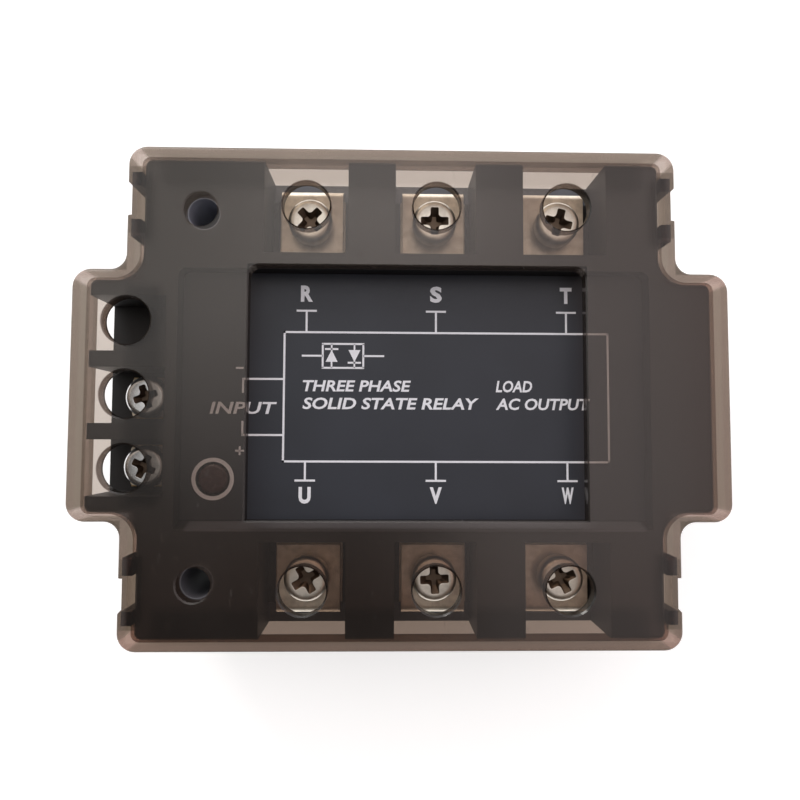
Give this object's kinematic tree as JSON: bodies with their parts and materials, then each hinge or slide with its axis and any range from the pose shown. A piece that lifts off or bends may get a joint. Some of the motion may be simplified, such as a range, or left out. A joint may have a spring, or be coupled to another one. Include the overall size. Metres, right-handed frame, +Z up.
{
  "type": "three-phase solid state relay",
  "caption": "Flat panel-mount three-phase solid state relay with a smoked clip-on cover over its screw terminals, a printed label and an indicator lamp.",
  "frame": {"origin": "centre of the footprint, on the underside of the base plate", "axes": "+X along the length away from the control terminals, +Y towards terminals R S T, +Z up through the label"},
  "size_m": [0.1, 0.076, 0.033],
  "materials": {
    "aluminium": "machined",
    "black_plastic": "moulded",
    "label": "printed satin film",
    "smoked_plastic": "smoked translucent",
    "nickel": "nickel plated",
    "bright_steel": "zinc plated",
    "brass": "plain",
    "copper": "plain",
    "ceramic": "fired",
    "silicon": "polished",
    "board": "solder mask",
    "resistor": "lacquered",
    "capacitor": "dipped",
    "lamp": "diffused",
    "gel": "cast silicone"
  },
  "bodies": {
    "relay_body": {"base_plate": "aluminium", "housing": "black_plastic", "label": "label", "load_nuts": "nickel", "control_nuts": "nickel", "copper_pads": "copper", "gate_leads": "nickel", "control_board": "board", "gate_resistors": "resistor", "snubber_capacitors": "capacitor", "bridge_rectifier": "black_plastic", "indicator": "lamp", "indicator_leads": "nickel", "gel_fill": "gel", "substrate_1": "ceramic", "optocoupler_1": "black_plastic", "thyristor_1a": "silicon", "thyristor_1b": "silicon", "substrate_2": "ceramic", "optocoupler_2": "black_plastic", "thyristor_2a": "silicon", "thyristor_2b": "silicon", "substrate_3": "ceramic", "optocoupler_3": "black_plastic", "thyristor_3a": "silicon", "thyristor_3b": "silicon", "terminal_r": "nickel", "terminal_s": "nickel", "terminal_t": "nickel", "terminal_u": "nickel", "terminal_v": "nickel", "terminal_w": "nickel", "terminal_minus": "brass", "terminal_plus": "brass"},
    "cover_unit": {"cover": "smoked_plastic", "cover_latches": "smoked_plastic"},
    "clamp_r_set": {"clamp_r": "nickel", "washer_r": "nickel"},
    "screw_r_set": {"screw_r": "nickel"},
    "clamp_s_set": {"clamp_s": "nickel", "washer_s": "nickel"},
    "screw_s_set": {"screw_s": "nickel"},
    "clamp_t_set": {"clamp_t": "nickel", "washer_t": "nickel"},
    "screw_t_set": {"screw_t": "nickel"},
    "clamp_u_set": {"clamp_u": "nickel", "washer_u": "nickel"},
    "screw_u_set": {"screw_u": "nickel"},
    "clamp_v_set": {"clamp_v": "nickel", "washer_v": "nickel"},
    "screw_v_set": {"screw_v": "nickel"},
    "clamp_w_set": {"clamp_w": "nickel", "washer_w": "nickel"},
    "screw_w_set": {"screw_w": "nickel"},
    "clamp_minus_set": {"clamp_minus": "nickel", "washer_minus": "nickel"},
    "screw_minus_set": {"screw_minus": "bright_steel"},
    "clamp_plus_set": {"clamp_plus": "nickel", "washer_plus": "nickel"},
    "screw_plus_set": {"screw_plus": "bright_steel"}
  },
  "joints": [
    {"name": "cover_lift", "type": "slide", "parent": "relay_body", "child": "cover_unit", "axis": [0, 0, 1], "range_m": [0, 0.03], "deforming": ["cover_latches"]},
    {"name": "clamp_r_lift", "type": "slide", "parent": "relay_body", "child": "clamp_r_set", "axis": [0, 0, 1], "range_m": [0, 0.0021]},
    {"name": "screw_r_turn", "type": "hinge", "parent": "clamp_r_set", "child": "screw_r_set", "pos_m": [-0.0149, 0.0284, 0.025], "axis": [0, 0, 1], "range_deg": [0, 1080]},
    {"name": "clamp_s_lift", "type": "slide", "parent": "relay_body", "child": "clamp_s_set", "axis": [0, 0, 1], "range_m": [0, 0.0021]},
    {"name": "screw_s_turn", "type": "hinge", "parent": "clamp_s_set", "child": "screw_s_set", "pos_m": [0.0051, 0.0284, 0.025], "axis": [0, 0, 1], "range_deg": [0, 1080]},
    {"name": "clamp_t_lift", "type": "slide", "parent": "relay_body", "child": "clamp_t_set", "axis": [0, 0, 1], "range_m": [0, 0.0021]},
    {"name": "screw_t_turn", "type": "hinge", "parent": "clamp_t_set", "child": "screw_t_set", "pos_m": [0.0251, 0.0284, 0.025], "axis": [0, 0, 1], "range_deg": [0, 1080]},
    {"name": "clamp_u_lift", "type": "slide", "parent": "relay_body", "child": "clamp_u_set", "axis": [0, 0, 1], "range_m": [0, 0.0021]},
    {"name": "screw_u_turn", "type": "hinge", "parent": "clamp_u_set", "child": "screw_u_set", "pos_m": [-0.0149, -0.0284, 0.025], "axis": [0, 0, 1], "range_deg": [0, 1080]},
    {"name": "clamp_v_lift", "type": "slide", "parent": "relay_body", "child": "clamp_v_set", "axis": [0, 0, 1], "range_m": [0, 0.0021]},
    {"name": "screw_v_turn", "type": "hinge", "parent": "clamp_v_set", "child": "screw_v_set", "pos_m": [0.0051, -0.0284, 0.025], "axis": [0, 0, 1], "range_deg": [0, 1080]},
    {"name": "clamp_w_lift", "type": "slide", "parent": "relay_body", "child": "clamp_w_set", "axis": [0, 0, 1], "range_m": [0, 0.0021]},
    {"name": "screw_w_turn", "type": "hinge", "parent": "clamp_w_set", "child": "screw_w_set", "pos_m": [0.0251, -0.0284, 0.025], "axis": [0, 0, 1], "range_deg": [0, 1080]},
    {"name": "clamp_minus_lift", "type": "slide", "parent": "relay_body", "child": "clamp_minus_set", "axis": [0, 0, 1], "range_m": [0, 0.0018]},
    {"name": "screw_minus_turn", "type": "hinge", "parent": "clamp_minus_set", "child": "screw_minus_set", "pos_m": [-0.0409, 0, 0.025], "axis": [0, 0, 1], "range_deg": [0, 1080]},
    {"name": "clamp_plus_lift", "type": "slide", "parent": "relay_body", "child": "clamp_plus_set", "axis": [0, 0, 1], "range_m": [0, 0.0018]},
    {"name": "screw_plus_turn", "type": "hinge", "parent": "clamp_plus_set", "child": "screw_plus_set", "pos_m": [-0.0409, -0.0111, 0.025], "axis": [0, 0, 1], "range_deg": [0, 1080]}
  ],
  "couplings": [
    {"joint": "screw_r_turn", "follows": "clamp_r_lift", "rad_per_m": 8975.9},
    {"joint": "screw_s_turn", "follows": "clamp_s_lift", "rad_per_m": 8975.9},
    {"joint": "screw_t_turn", "follows": "clamp_t_lift", "rad_per_m": 8975.9},
    {"joint": "screw_u_turn", "follows": "clamp_u_lift", "rad_per_m": 8975.9},
    {"joint": "screw_v_turn", "follows": "clamp_v_lift", "rad_per_m": 8975.9},
    {"joint": "screw_w_turn", "follows": "clamp_w_lift", "rad_per_m": 8975.9},
    {"joint": "screw_minus_turn", "follows": "clamp_minus_lift", "rad_per_m": 10472},
    {"joint": "screw_plus_turn", "follows": "clamp_plus_lift", "rad_per_m": 10472}
  ]
}
